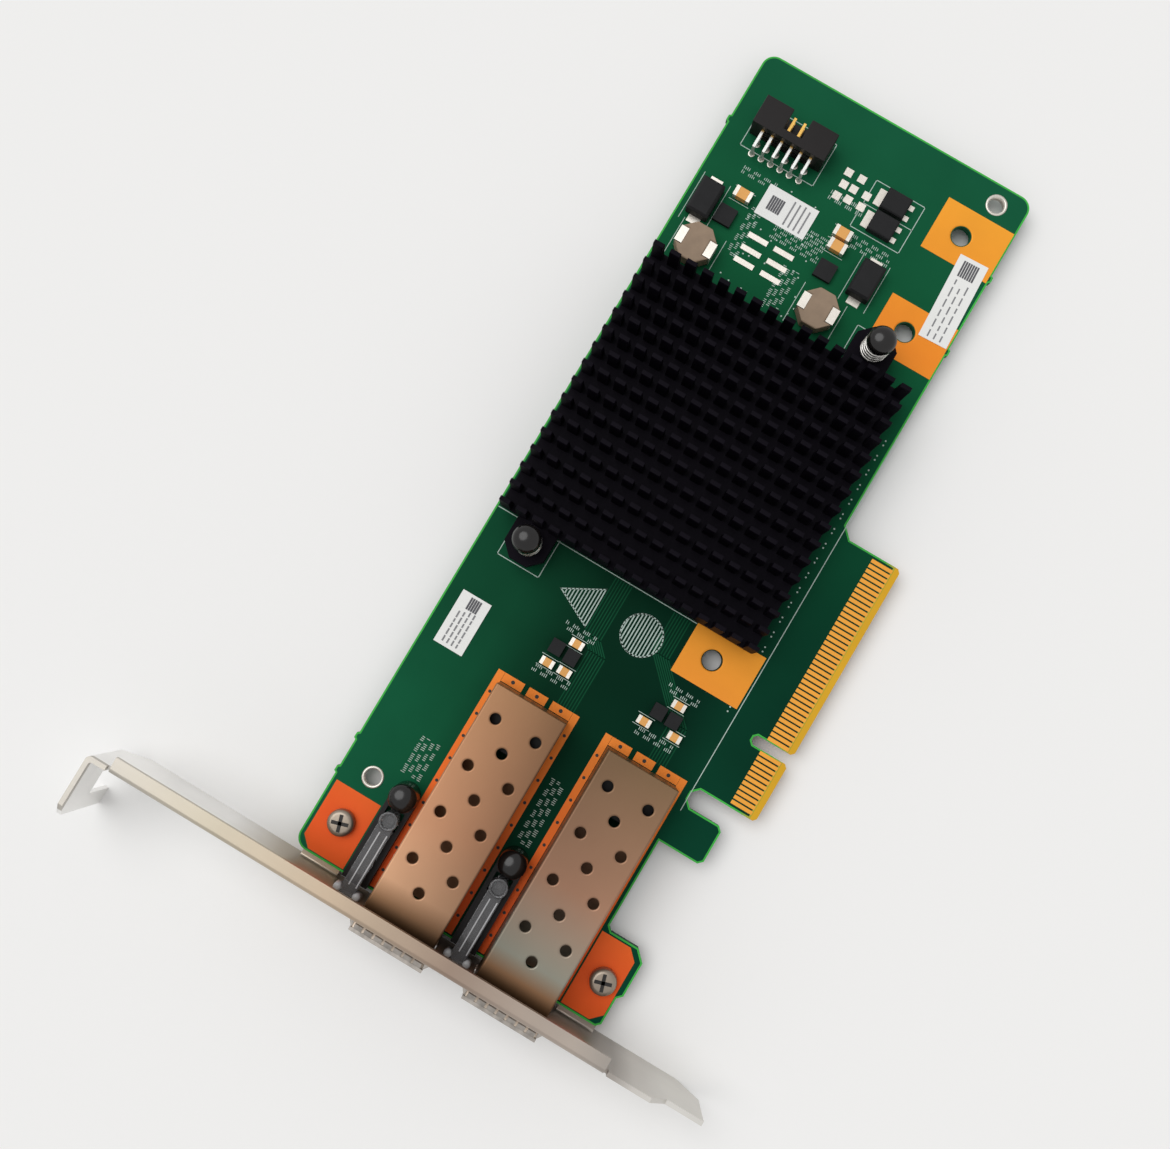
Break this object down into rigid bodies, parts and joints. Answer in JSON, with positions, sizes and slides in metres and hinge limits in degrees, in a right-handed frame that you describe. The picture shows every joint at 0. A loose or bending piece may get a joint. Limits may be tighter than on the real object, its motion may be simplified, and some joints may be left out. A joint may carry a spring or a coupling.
{
  "type": "network interface card",
  "caption": "Low-profile-height expansion card with dual module cages, full-height bracket, pin-fin heat sink, edge contacts and board components.",
  "frame": {"origin": "middle of the key notch on the contact edge, on the solder side of the board", "axes": "+X from the bracket to the far end of the board, +Y from the edge contacts to the top edge, +Z out of the component side"},
  "size_m": [0.1813, 0.12, 0.0184],
  "materials": {
    "laminate": "deep green solder mask with a soft gloss",
    "gold": "bare immersion gold, satin",
    "tin": "tinned terminals and leads",
    "bracket_steel": "nickel-plated folded steel",
    "cage_steel": "satin nickel-silver sheet",
    "screw_steel": "plain steel",
    "collar_steel": "bright spring sheet",
    "black_plastic": "black moulded plastic",
    "clear_plastic": "clear moulded plastic",
    "black_anodised": "black anodised",
    "moulded_black": "black moulded case",
    "ferrite": "grey-brown pressed iron powder",
    "ceramic_orange": "tan ceramic",
    "paper_white": "blank white label",
    "thermal_grey": "soft thermal pad",
    "light_white": "pale light package"
  },
  "bodies": {
    "root": {"bracket": "bracket_steel", "bracket_screws": "screw_steel", "cage_floor_1": "cage_steel", "cage_floor_2": "cage_steel", "cage_ground_frames": "gold", "circuit_board": "laminate", "connector_leads_1": "tin", "connector_leads_2": "tin", "controller_chip": "moulded_black", "edge_contacts_back": "gold", "edge_contacts_front": "gold", "filter_beads": "moulded_black", "filter_capacitor_ends": "tin", "filter_capacitors": "ceramic_orange", "fixing_pads": "gold", "header_housing": "black_plastic", "header_pins": "tin", "heat_sink": "black_anodised", "host_connector_1": "black_plastic", "host_connector_2": "black_plastic", "inductor_terminals": "tin", "large_capacitor_ends": "tin", "large_capacitors": "ceramic_orange", "light_pipe_1": "clear_plastic", "light_pipe_2": "clear_plastic", "light_pipe_holder_1": "black_plastic", "light_pipe_holder_2": "black_plastic", "paper_labels": "paper_white", "port_cage_1": "cage_steel", "port_cage_2": "cage_steel", "power_inductor_1": "ferrite", "power_inductor_2": "ferrite", "power_transistor_1": "moulded_black", "power_transistor_2": "moulded_black", "push_pin_1": "black_plastic", "push_pin_2": "black_plastic", "push_pin_spring_1": "collar_steel", "push_pin_spring_2": "collar_steel", "regulator_chip_1": "moulded_black", "regulator_chip_2": "moulded_black", "spare_footprint_pads": "tin", "spring_collar_1": "collar_steel", "spring_collar_2": "collar_steel", "status_lights": "light_white", "tantalum_capacitor_1": "moulded_black", "tantalum_capacitor_2": "moulded_black", "tantalum_terminals": "tin", "thermal_pad": "thermal_grey", "tooling_hole_rings": "tin", "transistor_leads": "tin", "underside_capacitors": "ceramic_orange"}
  },
  "joints": []
}
